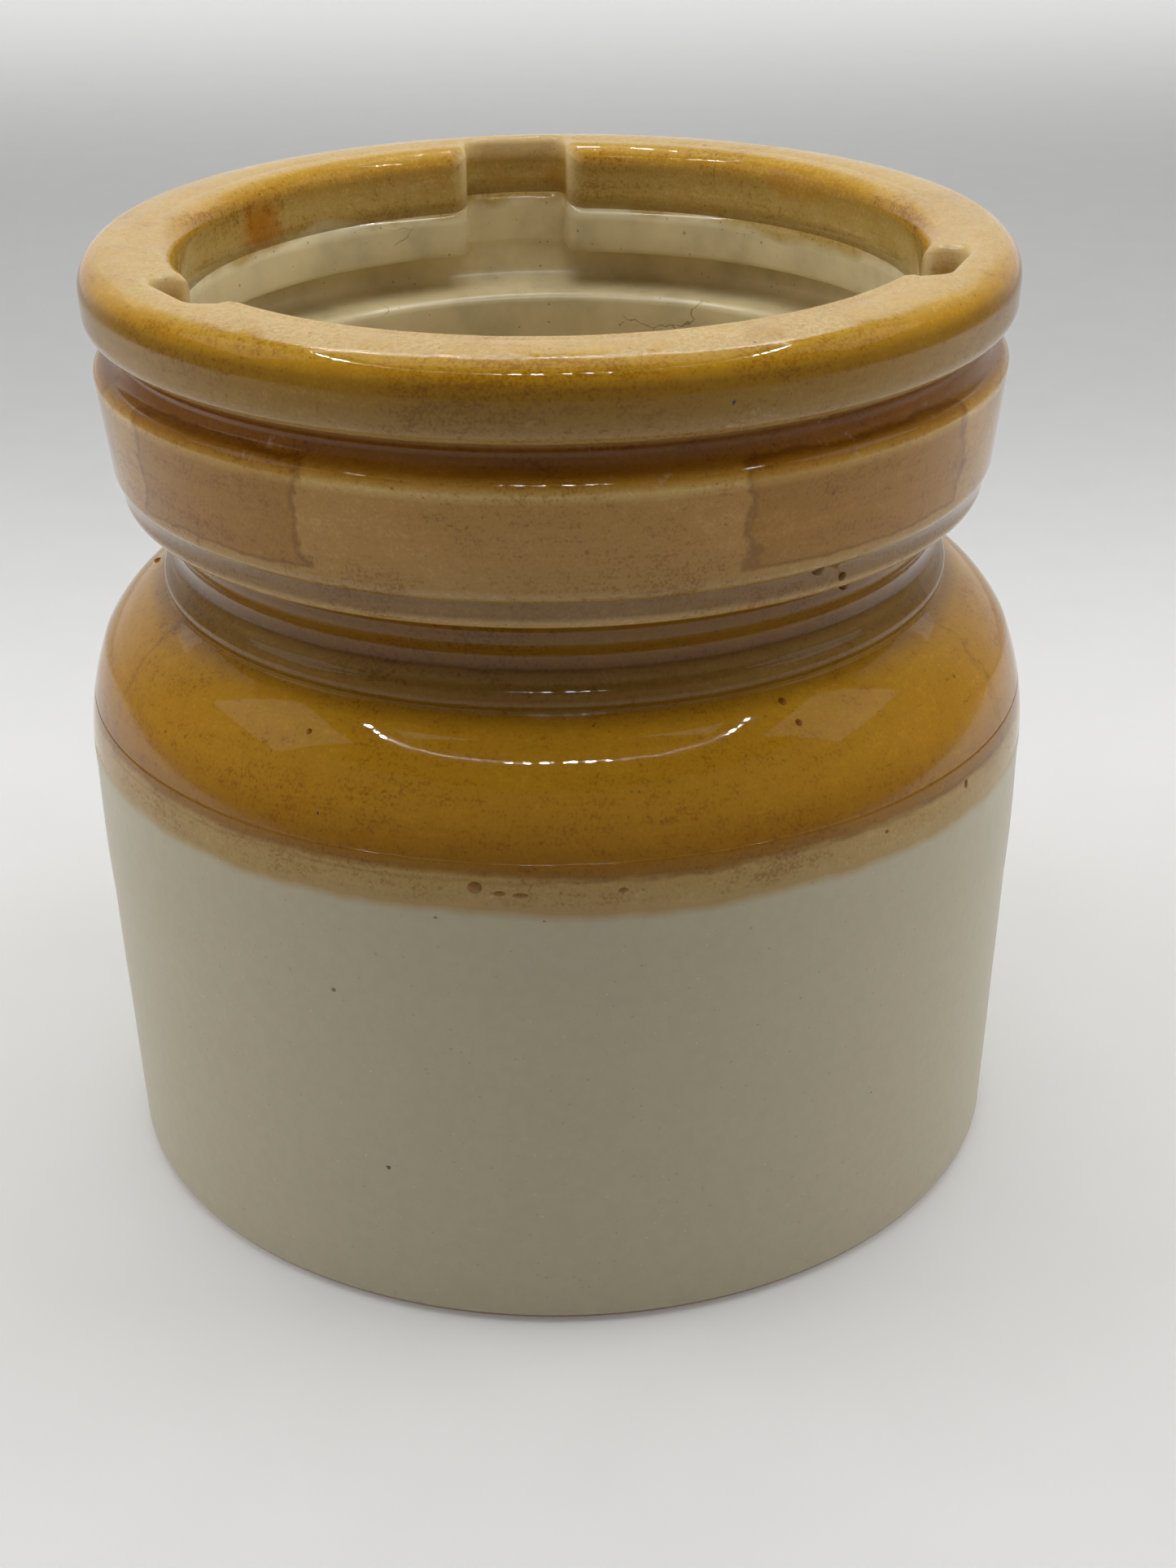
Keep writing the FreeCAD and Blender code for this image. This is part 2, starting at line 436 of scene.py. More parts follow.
def pot_coordinates(nodes):
    """Object coordinates in millimetres, with height and distance from the axis."""
    place = nodes.add("ShaderNodeTexCoord").outputs["Object"]
    mm = nodes.add("ShaderNodeVectorMath", place, operation="SCALE", named={"Scale": 1 / MM})
    mm = mm.outputs[0]
    parts = nodes.add("ShaderNodeSeparateXYZ", mm).outputs
    radius = nodes.math("SQRT", nodes.math("ADD", nodes.math("MULTIPLY", parts[0], parts[0]),
                                           nodes.math("MULTIPLY", parts[1], parts[1])))
    return mm, parts, radius


def specks_group():
    """Small round marks scattered over a surface: iron specks, pits and painted glints."""
    group, n, given, result = new_group(
        "Scattered_specks",
        [("Spacing", FLOAT, 4.0), ("Size", FLOAT, 0.4), ("Share", FLOAT, 0.4),
         ("Seed", FLOAT, 0.0)],
        [("Mask", FLOAT)])
    mm = pot_coordinates(n)[0]
    warp = n.add("ShaderNodeTexNoise", named={"Vector": mm, "Scale": 1.7, "Detail": 2.0})
    moved = n.add("ShaderNodeVectorMath", warp.outputs["Color"], (0.5, 0.5, 0.5),
                  operation="SUBTRACT").outputs[0]
    moved = n.add("ShaderNodeVectorMath", moved, operation="SCALE",
                  named={"Scale": n.math("MULTIPLY", given["Size"], 1.6)}).outputs[0]
    moved = n.add("ShaderNodeVectorMath", mm, moved, operation="ADD").outputs[0]
    seed = n.add("ShaderNodeCombineXYZ", given["Seed"], given["Seed"], given["Seed"]).outputs[0]
    moved = n.add("ShaderNodeVectorMath", moved, seed, operation="ADD").outputs[0]
    cells = n.add("ShaderNodeTexVoronoi",
                  named={"Vector": moved, "Scale": n.math("DIVIDE", 1.0, given["Spacing"])})
    chance = n.add("ShaderNodeSeparateColor", cells.outputs["Color"]).outputs
    distance = n.math("MULTIPLY", cells.outputs["Distance"], given["Spacing"])
    share = n.math("ADD", 0.45, n.math("MULTIPLY", chance[1], 0.9))
    size = n.math("MULTIPLY", given["Size"], share)
    spot = n.step(n.math("DIVIDE", distance, size), 1.0, 0.45)
    present = n.math("LESS_THAN", chance[0], given["Share"])
    n.tree.links.new(n.math("MULTIPLY", spot, present), result["Mask"])
    return group


def crazing_group():
    """Hairline cracks in the glaze, gathered in patches."""
    group, n, given, result = new_group(
        "Crazing_hairlines",
        [("Cell", FLOAT, 26.0), ("Line width", FLOAT, 0.22), ("Cover", FLOAT, 0.5)],
        [("Mask", FLOAT)])
    mm = pot_coordinates(n)[0]
    warp = n.add("ShaderNodeTexNoise", named={"Vector": mm, "Scale": 0.09, "Detail": 4.0})
    moved = n.add("ShaderNodeVectorMath", warp.outputs["Color"], operation="SCALE",
                  named={"Scale": 14.0}).outputs[0]
    moved = n.add("ShaderNodeVectorMath", mm, moved, operation="ADD").outputs[0]
    cells = n.add("ShaderNodeTexVoronoi", feature="DISTANCE_TO_EDGE",
                  named={"Vector": moved, "Scale": n.math("DIVIDE", 1.0, given["Cell"])})
    distance = n.math("MULTIPLY", cells.outputs["Distance"], given["Cell"])
    line = n.step(n.math("DIVIDE", distance, given["Line width"]), 1.0, 0.3)
    patches = n.noise(mm, 0.035, 2.0)
    cover = n.step(patches, n.math("SUBTRACT", 0.72, n.math("MULTIPLY", given["Cover"], 0.4)),
                   n.math("SUBTRACT", 0.78, n.math("MULTIPLY", given["Cover"], 0.4)))
    n.tree.links.new(n.math("MULTIPLY", line, cover), result["Mask"])
    return group


def height_colour_stops(table, low, high):
    """Ramp stops from (height in mm, colour) rows."""
    return [((z - low) / (high - low), (*colour, 1.0)) for z, colour in table]


CREAM_UP_TO, OCHRE_AT = 66.0, 80.0      # heights in mm where the two plain colours are full
# Darker in the neck and groove hollows and lighter on the upward shoulder, the ridge edges and the
# rim top: partly the glaze's own thickness, partly painted shade and painted highlight.
OUTSIDE_COLOURS_WITH_PAINTED_LIGHT = [     # height in mm, linear colour of the glaze between and above them, with painted light and shade in it
    (67.4, (0.40, 0.265, 0.095)),
    (71.6, (0.41, 0.255, 0.075)),
    (72.4, (0.258, 0.116, 0.007)),
    (74.5, (0.317, 0.136, 0.004)),
    (88.0, (0.53, 0.260, 0.012)),
    (90.4, (0.221, 0.102, 0.009)),
    (93.5, (0.240, 0.128, 0.024)),
    (95.0, (0.144, 0.061, 0.004)),
    (97.0, (0.195, 0.083, 0.006)),
    (99.0, (0.187, 0.086, 0.008)),
    (102.4, (0.187, 0.076, 0.005)),
    (103.7, (0.50, 0.330, 0.130)),
    (105.0, (0.255, 0.143, 0.045)),
    (106.9, (0.225, 0.120, 0.034)),
    (107.7, (0.400, 0.264, 0.104)),
    (109.0, (0.39, 0.215, 0.055)),
    (114.0, (0.41, 0.220, 0.052)),
    (120.6, (0.40, 0.215, 0.045)),
    (121.9, (0.58, 0.370, 0.120)),
    (123.0, (0.45, 0.220, 0.020)),
    (124.4, (0.28, 0.105, 0.006)),
    (126.8, (0.18, 0.060, 0.004)),
    (128.2, (0.42, 0.260, 0.090)),
    (129.6, (0.316, 0.186, 0.051)),
    (133.0, (0.279, 0.144, 0.011)),
    (135.5, (0.316, 0.153, 0.005)),
    (137.0, (0.56, 0.280, 0.012)),
    (138.3, (0.66, 0.380, 0.050)),
    (139.2, (0.72, 0.455, 0.110)),
]
COLOUR_LOW, COLOUR_HIGH = 60.0, 140.0


# azimuths in degrees, heights in mm, strength of the pool and of its tide mark; partly pools of
# thicker glaze, partly painted reflection: darker patches and dark edge lines where the sheen
# changes round the collar and shoulder
GLAZE_POOLS_AND_SHEEN_EDGES = [(-148, -120, 109.6, 124, 0.9, 0.60), (-68, -33, 109.6, 124, 0.9, 0.60),
               (-155, -25, 71.5, 95, 0.0, 0.3375), (62, 104, 110, 124, 0.7, 0.45),
               (-175, -160, 112, 124, 0.5, 0.375), (8, 31, 109.6, 121, 0.8, 0.45)]
POOL_AND_SHEEN_TINT = (0.80, 0.70, 0.42, 1)
TIDE_AND_SHEEN_EDGE_TINT = (0.50, 0.40, 0.26, 1)
IRON_STAIN_AT = (-43.8, 28.4, 132.3)


def crock_colours_group(settings):
    """Colour and finish of the glazes over the whole crock, by height and by side of the wall, with
    painted shade, highlights and reflections in the colour.
    """
    group, n, given, result = new_group(
        "Crock_glaze_colours_and_painted_light",
        [("Wander", FLOAT, 1.0), ("Cloudiness", FLOAT, 1.0), ("Inner side", FLOAT, 0.0)],
        [("Colour", COLOUR), ("Gloss", FLOAT), ("Cream", FLOAT), ("Worn", FLOAT)])
    mm, parts, radius = pot_coordinates(n)
    z = parts[2]
    # the dip line wanders up and down round the pot
    slow = n.noise(n.stretch(mm, (1, 1, 0.25)), 0.022, 2.0)
    fine = n.noise(n.stretch(mm, (1, 1, 0.4)), 0.16, 3.0, 0.6)
    wander = n.math("ADD", n.math("MULTIPLY", n.math("SUBTRACT", slow, 0.5), 4.0),
                    n.math("MULTIPLY", n.math("SUBTRACT", fine, 0.5), 1.3))
    wander = n.math("MULTIPLY", wander, given["Wander"])
    low_part = n.step(z, 84.0, 78.0)
    level = n.math("ADD", z, n.math("MULTIPLY", wander, low_part))
    share = n.math("DIVIDE", n.math("SUBTRACT", level, COLOUR_LOW), COLOUR_HIGH - COLOUR_LOW)
    table = OUTSIDE_COLOURS_WITH_PAINTED_LIGHT + [(CREAM_UP_TO, settings.cream), (OCHRE_AT, settings.ochre)]
    outside = n.ramp(share, height_colour_stops(sorted(table, key=lambda row: row[0]),
                                                COLOUR_LOW, COLOUR_HIGH))
    # clouds of thicker and thinner glaze, drawn out round the pot
    cloud = n.noise(n.stretch(mm, (1, 1, 2.2)), 0.045, 3.0, 0.55, 0.6)
    streak = n.noise(n.stretch(mm, (0.22, 0.22, 2.8)), 0.32, 3.0, 0.6)
    mottle = n.noise(mm, 0.55, 4.0, 0.65)
    speckle = n.noise(mm, 2.1, 3.0, 0.7)
    tone = n.math("ADD", n.math("MULTIPLY", n.math("SUBTRACT", cloud, 0.5), 0.8),
                  n.math("ADD", n.math("MULTIPLY", n.math("SUBTRACT", streak, 0.5), 0.5),
                         n.math("MULTIPLY", n.math("SUBTRACT", mottle, 0.5), 0.65)))
    tone = n.math("ADD", tone, n.math("MULTIPLY", n.math("SUBTRACT", speckle, 0.5), 1.15))
    tone = n.math("MULTIPLY", tone, given["Cloudiness"])
    ochre_side = n.step(level, 67.0, 69.0)
    dark = n.mix(n.step(tone, 0.0, -0.34), (1, 1, 1, 1), (0.70, 0.58, 0.40, 1))
    light = n.mix(n.step(tone, 0.04, 0.42), (1, 1, 1, 1), (1.22, 1.28, 1.7, 1))
    varied = n.mix(1.0, n.mix(1.0, outside, dark, "MULTIPLY"), light, "MULTIPLY")
    chalk = n.mix(n.step(mottle, 0.35, 0.65), (0.975, 0.97, 0.965, 1), (1.02, 1.02, 1.02, 1))
    outside = n.mix(ochre_side, n.mix(1.0, outside, chalk, "MULTIPLY"), varied)
    # pools of thicker glaze with a dark tide mark round each, partly painted reflection: the
    # patches and edge lines stand where the sheen changes round the pot
    azimuth = n.math("MULTIPLY", n.math("ARCTAN2", parts[1], parts[0]), 180 / math.pi)
    edge_noise = n.math("MULTIPLY", n.math("SUBTRACT", n.noise(mm, 0.18, 3.0, 0.6), 0.5), 9.0)
    round_pot = n.math("ADD", azimuth, edge_noise)
    up_pot = n.math("ADD", z, n.math("MULTIPLY", edge_noise, 0.2))
    for first, last, low, high, pool_and_sheen, tide_and_sheen_edge in GLAZE_POOLS_AND_SHEEN_EDGES:
        spread = n.math("MULTIPLY", n.band(round_pot, first, last, 1.1),
                        n.band(up_pot, low, high, 0.45))
        mark = n.math("MULTIPLY", n.math("MULTIPLY", spread, n.math("SUBTRACT", 1.0, spread)), 4.0)
        outside = n.mix(n.math("MULTIPLY", spread, pool_and_sheen), outside, POOL_AND_SHEEN_TINT, "MULTIPLY")
        outside = n.mix(n.math("MULTIPLY", mark, tide_and_sheen_edge), outside, TIDE_AND_SHEEN_EDGE_TINT, "MULTIPLY")
    # rim top: rubbed and dusty towards the front
    dust = n.noise(mm, 0.11, 4.0, 0.62, 0.4)
    grain = n.noise(mm, 1.6, 3.0, 0.7)
    front = n.math("ADD", 0.35, n.math("MULTIPLY", n.step(parts[1], 25.0, -25.0), 0.65))
    on_top = n.math("MULTIPLY", n.step(z, 138.2, 138.7), n.step(radius, 53.6, 54.8))
    on_top = n.math("MULTIPLY", n.math("MULTIPLY", on_top, front), n.step(dust, 0.28, 0.6))
    rubbed = n.mix(n.step(grain, 0.35, 0.65), (0.62, 0.40, 0.13, 1), (0.80, 0.60, 0.30, 1))
    outside = n.mix(n.math("MULTIPLY", on_top, 0.75), outside, rubbed)
    # a little kitchen dust left in the hollows of the rim
    smear = n.math("MULTIPLY", n.step(n.noise(mm, 0.14, 5.0, 0.7), 0.62, 0.74),
                   n.band(z, 121.5, 133.0, 1.5))
    outside = n.mix(n.math("MULTIPLY", smear, 0.4), outside, (0.62, 0.53, 0.36, 1))
    # lighter along the slot edges: partly thinner glaze, partly painted highlight
    thin_glaze_and_highlight = n.add("ShaderNodeAttribute", attribute_name="thin_glaze_and_edge_highlight").outputs["Fac"]
    outside = n.mix(n.math("MULTIPLY", thin_glaze_and_highlight, 0.6), outside, (0.80, 0.62, 0.33, 1))
    # inside the mouth the ochre stops part way down the bore and the pale lining shows
    bore_noise = n.noise(mm, 0.05, 3.0, 0.6)
    bore_wander = n.math("MULTIPLY", n.math("SUBTRACT", bore_noise, 0.5), 8.0)
    bore_level = n.math("ADD", z, bore_wander)
    below_line = n.step(bore_level, 129.9, 127.9)
    inside = n.math("MULTIPLY", n.step(radius, 60.6, 60.0), n.step(z, 108.0, 112.0))
    inside = n.math("MAXIMUM", inside, given["Inner side"])
    lining_tone = n.ramp(n.noise(mm, 0.08, 4.0, 0.6),
                         [(place, (*(c * shade for c in settings.lining), 1))
                          for place, shade in ((0.32, 0.80), (0.5, 1.0), (0.7, 1.12))])
    bore_ochre = n.mix(n.step(z, 139.0, 132.0), outside, (0.50, 0.335, 0.09, 1))
    bore_ochre = n.mix(n.step(cloud, 0.55, 0.75), bore_ochre, (0.44, 0.22, 0.03, 1))
    stain = n.add("ShaderNodeVectorMath", mm, IRON_STAIN_AT, operation="DISTANCE").outputs["Value"]
    stain = n.math("ADD", stain, n.math("MULTIPLY", n.math("SUBTRACT", mottle, 0.5), 5.0))
    bore_ochre = n.mix(n.step(stain, 6.5, 1.5), bore_ochre, (0.42, 0.17, 0.015, 1))
    bore_ochre = n.mix(1.0, bore_ochre, n.mix(1.0, dark, light, "MULTIPLY"), "MULTIPLY")
    # the same lighter slot edges inside the mouth, partly painted highlight
    bore_ochre = n.mix(n.math("MULTIPLY", thin_glaze_and_highlight, 0.6), bore_ochre, (0.80, 0.62, 0.33, 1))
    colour = n.mix(n.math("MULTIPLY", inside, n.step(z, 139.0, 136.5)), outside, bore_ochre)
    lined = n.math("MULTIPLY", below_line, inside)
    colour = n.mix(lined, colour, lining_tone)
    cream = n.step(level, 69.0, 66.6)
    cream = n.math("MULTIPLY", cream, n.math("SUBTRACT", 1.0, inside))
    n.tree.links.new(colour, result["Colour"])
    n.tree.links.new(cream, result["Cream"])
    side = n.step(parts[0], -10.0, 30.0)
    rough_groove = n.math("MULTIPLY", n.band(z, 123.8, 127.6, 0.6), n.math("ADD", 0.15, side))
    rough_groove = n.math("MULTIPLY", rough_groove, n.step(radius, 61.0, 61.4))
    n.tree.links.new(n.math("MAXIMUM", on_top, rough_groove), result["Worn"])
    matt = n.math("MAXIMUM", n.math("MULTIPLY", on_top, 0.8), n.math("MULTIPLY", lined, 0.45))
    matt = n.math("MAXIMUM", matt, n.math("MULTIPLY", cream, 0.5))
    n.tree.links.new(n.math("SUBTRACT", 1.0, matt), result["Gloss"])
    return group


def put_group(n, group, **values):
    """Places a node group with its own values; gives its outputs."""
    node = n.add("ShaderNodeGroup", node_tree=group)
    for label, value in values.items():
        node.inputs[label.replace("_", " ")].default_value = value
    return node.outputs


def glaze_material(name, groups, fallback, ripple, speck_share, inner_side=0.0,
                   tint=(1, 1, 1)):
    """Fired glaze: colour by height, specks, pits, crazing, and a softly rippled gloss."""
    material = bpy.data.materials.new(name)
    material.use_nodes = True
    material.diffuse_color = (*fallback, 1)
    n = Nodes(material.node_tree)
    shader = n.tree.nodes["Principled BSDF"]
    colours = put_group(n, groups["colours"], Inner_side=inner_side)
    specks = groups["specks"]
    iron = put_group(n, specks, Spacing=3.4, Size=0.34, Share=speck_share, Seed=3.0)["Mask"]
    fine_iron = put_group(n, specks, Spacing=1.2, Size=0.20, Share=0.34, Seed=21.0)["Mask"]
    pits = put_group(n, specks, Spacing=7.5, Size=0.40, Share=0.30, Seed=47.0)["Mask"]
    painted_glint = put_group(n, specks, Spacing=1.1, Size=0.13, Share=0.30, Seed=77.0)["Mask"]
    cracks = put_group(n, groups["crazing"], Cell=42.0, Line_width=0.16, Cover=0.3)["Mask"]
    ochre = n.math("SUBTRACT", 1.0, colours["Cream"])
    colour = colours["Colour"]
    colour = n.mix(n.math("MULTIPLY", n.math("MULTIPLY", iron, ochre), 0.6),
                   colour, (0.13, 0.05, 0.012, 1))
    fine_share = n.math("ADD", 0.26, n.math("MULTIPLY", ochre, 0.3))
    colour = n.mix(n.math("MULTIPLY", fine_iron, fine_share), colour, (0.16, 0.08, 0.03, 1))
    # painted glints: whitish specks on the cream where its orange peel would catch the light
    colour = n.mix(n.math("MULTIPLY", n.math("MULTIPLY", painted_glint, colours["Cream"]), 0.4),
                   colour, (0.80, 0.79, 0.74, 1))
    colour = n.mix(n.math("MULTIPLY", pits, 0.85), colour, (0.03, 0.022, 0.016, 1))
    colour = n.mix(n.math("MULTIPLY", n.math("MULTIPLY", cracks, ochre), 0.55),
                   colour, (0.12, 0.055, 0.02, 1))
    colour = n.mix(1.0, colour, (*tint, 1), "MULTIPLY")
    n.tree.links.new(colour, shader.inputs["Base Color"])
    mm = pot_coordinates(n)[0]
    rough_noise = n.noise(mm, 0.5, 3.0)
    rough = n.add("ShaderNodeMapRange", named={"Value": colours["Gloss"], "From Min": 0.0,
                                               "From Max": 1.0, "To Min": 0.60, "To Max": 0.02})
    rough = n.math("ADD", rough.outputs["Result"], n.math("MULTIPLY", rough_noise, 0.025))
    n.tree.links.new(rough, shader.inputs["Roughness"])
    # height in millimetres: orange peel, throwing lines, pits and specks
    peel = n.math("MULTIPLY", n.noise(mm, 0.9, 2.0, 0.5), ripple)
    slow = n.math("MULTIPLY", n.noise(mm, 0.16, 2.0, 0.5), ripple * 3)
    lines = n.math("MULTIPLY", n.noise(n.stretch(mm, (0.03, 0.03, 1)), 0.9, 2.0), ripple * 0.9)
    grit = n.math("MULTIPLY", n.math("MULTIPLY", n.noise(mm, 4.5, 3.0, 0.7), colours["Worn"]), 0.05)
    height = n.math("ADD", n.math("ADD", peel, slow), n.math("ADD", lines, grit))
    height = n.math("SUBTRACT", height, n.math("MULTIPLY", pits, 0.12))
    height = n.math("ADD", height, n.math("MULTIPLY", iron, 0.012))
    height = n.math("SUBTRACT", height, n.math("MULTIPLY", cracks, 0.012))
    bump = n.add("ShaderNodeBump", named={"Strength": 1.0, "Distance": MM, "Height": height})
    n.tree.links.new(bump.outputs[0], shader.inputs["Normal"])
    shader.inputs["IOR"].default_value = 1.39
    return material


def bare_clay_material():
    """Unglazed stoneware: sandy buff with grog, turning rings and a scorched edge."""
    material = bpy.data.materials.new("Bare_stoneware")
    material.use_nodes = True
    material.diffuse_color = (0.45, 0.36, 0.25, 1)
    n = Nodes(material.node_tree)
    shader = n.tree.nodes["Principled BSDF"]
    mm, parts, radius = pot_coordinates(n)
    sand = n.noise(mm, 2.4, 5.0, 0.7)
    clouds = n.noise(mm, 0.05, 3.0)
    colour = n.ramp(sand, [(0.30, (0.30, 0.22, 0.14, 1)), (0.52, (0.45, 0.36, 0.25, 1)),
                           (0.72, (0.58, 0.49, 0.36, 1))])
    colour = n.mix(n.math("MULTIPLY", n.step(clouds, 0.45, 0.7), 0.35),
                   colour, (0.34, 0.21, 0.11, 1))
    scorch = n.step(radius, 61.0, 66.0)
    colour = n.mix(n.math("MULTIPLY", scorch, 0.5), colour, (0.30, 0.17, 0.08, 1))
    n.tree.links.new(colour, shader.inputs["Base Color"])
    rings = n.math("SINE", n.math("MULTIPLY", n.math("ADD", radius, n.noise(mm, 0.06, 2.0)), 3.4))
    height = n.math("ADD", n.math("MULTIPLY", rings, 0.05), n.math("MULTIPLY", sand, 0.25))
    bump = n.add("ShaderNodeBump", named={"Strength": 1.0, "Distance": MM, "Height": height})
    n.tree.links.new(bump.outputs[0], shader.inputs["Normal"])
    rough = n.math("ADD", 0.78, n.math("MULTIPLY", sand, 0.2))
    n.tree.links.new(rough, shader.inputs["Roughness"])
    return material


_made = {}


def made(key, maker):
    """Builds a shared node group the first time it is asked for."""
    if key not in _made:
        _made[key] = maker()
    return _made[key]


def shared_groups(settings):
    """The node groups that every glaze uses."""
    return {"colours": made("colours", lambda: crock_colours_group(settings)),
            "specks": made("specks", specks_group),
            "crazing": made("crazing", crazing_group)}


# ---------------------------------------------------------------- settings

class CrockSettings(bpy.types.PropertyGroup):
    glaze_thickness: FloatProperty(name="Glaze thickness", description="Thickness of each coat",
                                   default=0.0004, unit="LENGTH")
    ripple: FloatProperty(name="Glaze ripple",
                          description="Depth of the ripple in the gloss, in mm",
                          default=0.007)
    speck_share: FloatProperty(name="Iron specks", description="Share of places with an iron speck",
                               default=0.22, subtype="FACTOR", min=0, max=1)
    ochre: FloatVectorProperty(name="Ochre", description="Plain colour of the ochre glaze",
                               default=(0.47, 0.220, 0.008), subtype="COLOR")
    cream: FloatVectorProperty(name="Cream", description="Plain colour of the cream glaze",
                               default=(0.475, 0.420, 0.290), subtype="COLOR")
    lining: FloatVectorProperty(name="Lining", description="Plain colour of the lining glaze",
                                default=(0.78, 0.66, 0.385), subtype="COLOR")


class StageSettings(bpy.types.PropertyGroup):
    floor_colour: FloatVectorProperty(name="Floor", description="Colour of the floor and backdrop",
                                      default=(0.90, 0.90, 0.895), subtype="COLOR")
    side_light: FloatProperty(name="Side lights", description="Power of each side panel in watts",
                              default=1.1, unit="POWER")
    lamp_frame: FloatProperty(name="Lamp ring",
                              description="Power of the overhead lamp ring in watts",
                              default=0.80, unit="POWER")
    surround: FloatProperty(name="Surround", description="Brightness of the room all round",
                            default=0.065)
    focal_length: FloatProperty(name="Focal length", description="Lens of the camera in mm",
                                default=76.93)


# ---------------------------------------------------------------- pieces

class CROCK_OT_ochre_glaze(bpy.types.Operator):
    """Models the ochre coat on the shoulder, neck, collar and rim"""
    bl_idname = "crock.ochre_glaze"
    bl_label = "Ochre glaze"

    def execute(self, context):
        settings = context.scene.crock
        outer = trace(FOOT_EDGE, [FOOT], WALL, NECK, COLLAR, RIM, BORE)
        top = cut(outer, DIP_LINE_Z, True)
        end = next(i for i, p in enumerate(top)
                   if p[0] < BORE_R + 0.01 and p[1] < BORE_LINE_Z + 0.3)
        bm = turned(top[:end] + [(BORE_R, BORE_LINE_Z)])
        outward(bm, True)
        material = glaze_material("Ochre_salt_glaze", shared_groups(settings), settings.ochre,
                                  settings.ripple, settings.speck_share)
        piece = add_piece("Ochre_glaze", bm, material, ["ochre_glaze"])
        thicken(piece, settings.glaze_thickness)
        return {"FINISHED"}


class CROCK_OT_cream_glaze(bpy.types.Operator):
    """Models the cream coat on the wall below the dip line"""
    bl_idname = "crock.cream_glaze"
    bl_label = "Cream glaze"

    def execute(self, context):
        settings = context.scene.crock
        wall = trace(FOOT_EDGE, [FOOT], WALL[:3])
        lower = cut(cut(wall, BARE_FOOT_Z, True), DIP_LINE_Z, False)
        bm = turned(lower)
        outward(bm, True)
        material = glaze_material("Cream_salt_glaze", shared_groups(settings), settings.cream,
                                  settings.ripple, settings.speck_share)
        piece = add_piece("Cream_glaze", bm, material, ["cream_glaze"])
        thicken(piece, settings.glaze_thickness)
        return {"FINISHED"}


class CROCK_OT_lining_glaze(bpy.types.Operator):
    """Models the lining coat in the lower mouth, the channel and the cavity"""
    bl_idname = "crock.lining_glaze"
    bl_label = "Lining glaze"

    def execute(self, context):
        settings = context.scene.crock
        inner = trace((BORE_R, BORE_LINE_Z), BORE, FLANGE_UNDERSIDE, CHANNEL_AND_LEDGE)
        inner += trace(inner[-1], CAVITY, curve_gap=1.8, straight_gap=4.5)[1:]
        bm = turned(inner)
        outward(bm, False)
        material = glaze_material("Lining_glaze", shared_groups(settings), settings.lining,
                                  settings.ripple, settings.speck_share, inner_side=1.0)
        piece = add_piece("Lining_glaze", bm, material, ["lining_glaze"])
        thicken(piece, settings.glaze_thickness)
        return {"FINISHED"}


class CROCK_OT_stoneware_body(bpy.types.Operator):
    """Models the clay under the coats, bare at the foot"""
    bl_idname = "crock.stoneware_body"
    bl_label = "Stoneware body"

    def execute(self, context):
        settings = context.scene.crock
        whole = trace((0.0, 0.0), [(FOOT_EDGE,), FOOT], WALL, NECK, COLLAR, RIM, BORE,
                      FLANGE_UNDERSIDE, CHANNEL_AND_LEDGE, CAVITY,
                      curve_gap=0.9, straight_gap=4.0)
        bm = turned(whole)
        if any(not edge.is_manifold for edge in bm.edges):
            raise RuntimeError("the clay body is not closed")
        if bm.calc_volume(signed=True) < 0:
            bmesh.ops.reverse_faces(bm, faces=bm.faces)
        bm.normal_update()
        under = settings.glaze_thickness + 0.03 * MM
        shifts = [(v, v.normal.copy()) for v in bm.verts if v.co.z > BARE_FOOT_Z * MM]
        for v, normal in shifts:
            v.co -= normal * under
        add_piece("Stoneware_body", bm, bare_clay_material(), ["stoneware_body"])
        return {"FINISHED"}


# Marks left by the kiln: azimuth in degrees, height, half length round the pot, half height, proud
KILN_MARKS = [
    (-57.5, 107.2, 1.0, 0.8, 0.7), (-53.6, 105.2, 0.8, 0.7, 0.5), (-49.6, 102.6, 0.9, 1.6, 0.6),
    (-59.7, 86.2, 0.55, 0.5, 0.4), (-60.3, 88.3, 0.6, 0.5, 0.45), (-121.2, 86.0, 0.5, 0.4, 0.35),
    (-99.1, 70.6, 1.2, 1.0, 0.32), (-96.5, 70.0, 1.1, 0.5, 0.22), (-94.2, 69.8, 1.5, 0.5, 0.2),
    (-103.4, 66.0, 0.6, 0.4, 0.1), (-83.4, 70.2, 1.0, 0.5, 0.2), (-91.8, 66.2, 0.4, 0.3, 0.1),
    (-51.3, 70.3, 0.5, 0.4, 0.3), (-36.3, 70.6, 0.7, 0.9, 0.35), (24.0, 70.5, 1.1, 0.7, 0.35),
    (71.0, 86.8, 0.6, 0.5, 0.4), (118.0, 105.8, 0.9, 0.7, 0.5), (152.0, 66.5, 0.8, 0.5, 0.1),
    (-116.0, 52.2, 0.5, 0.45, 0.2), (95.0, 46.0, 0.6, 0.5, 0.25), (176.0, 88.0, 0.6, 0.5, 0.4),
]
SUNK = 0.15     # how far the marks are set in, as the hand-turned wall is


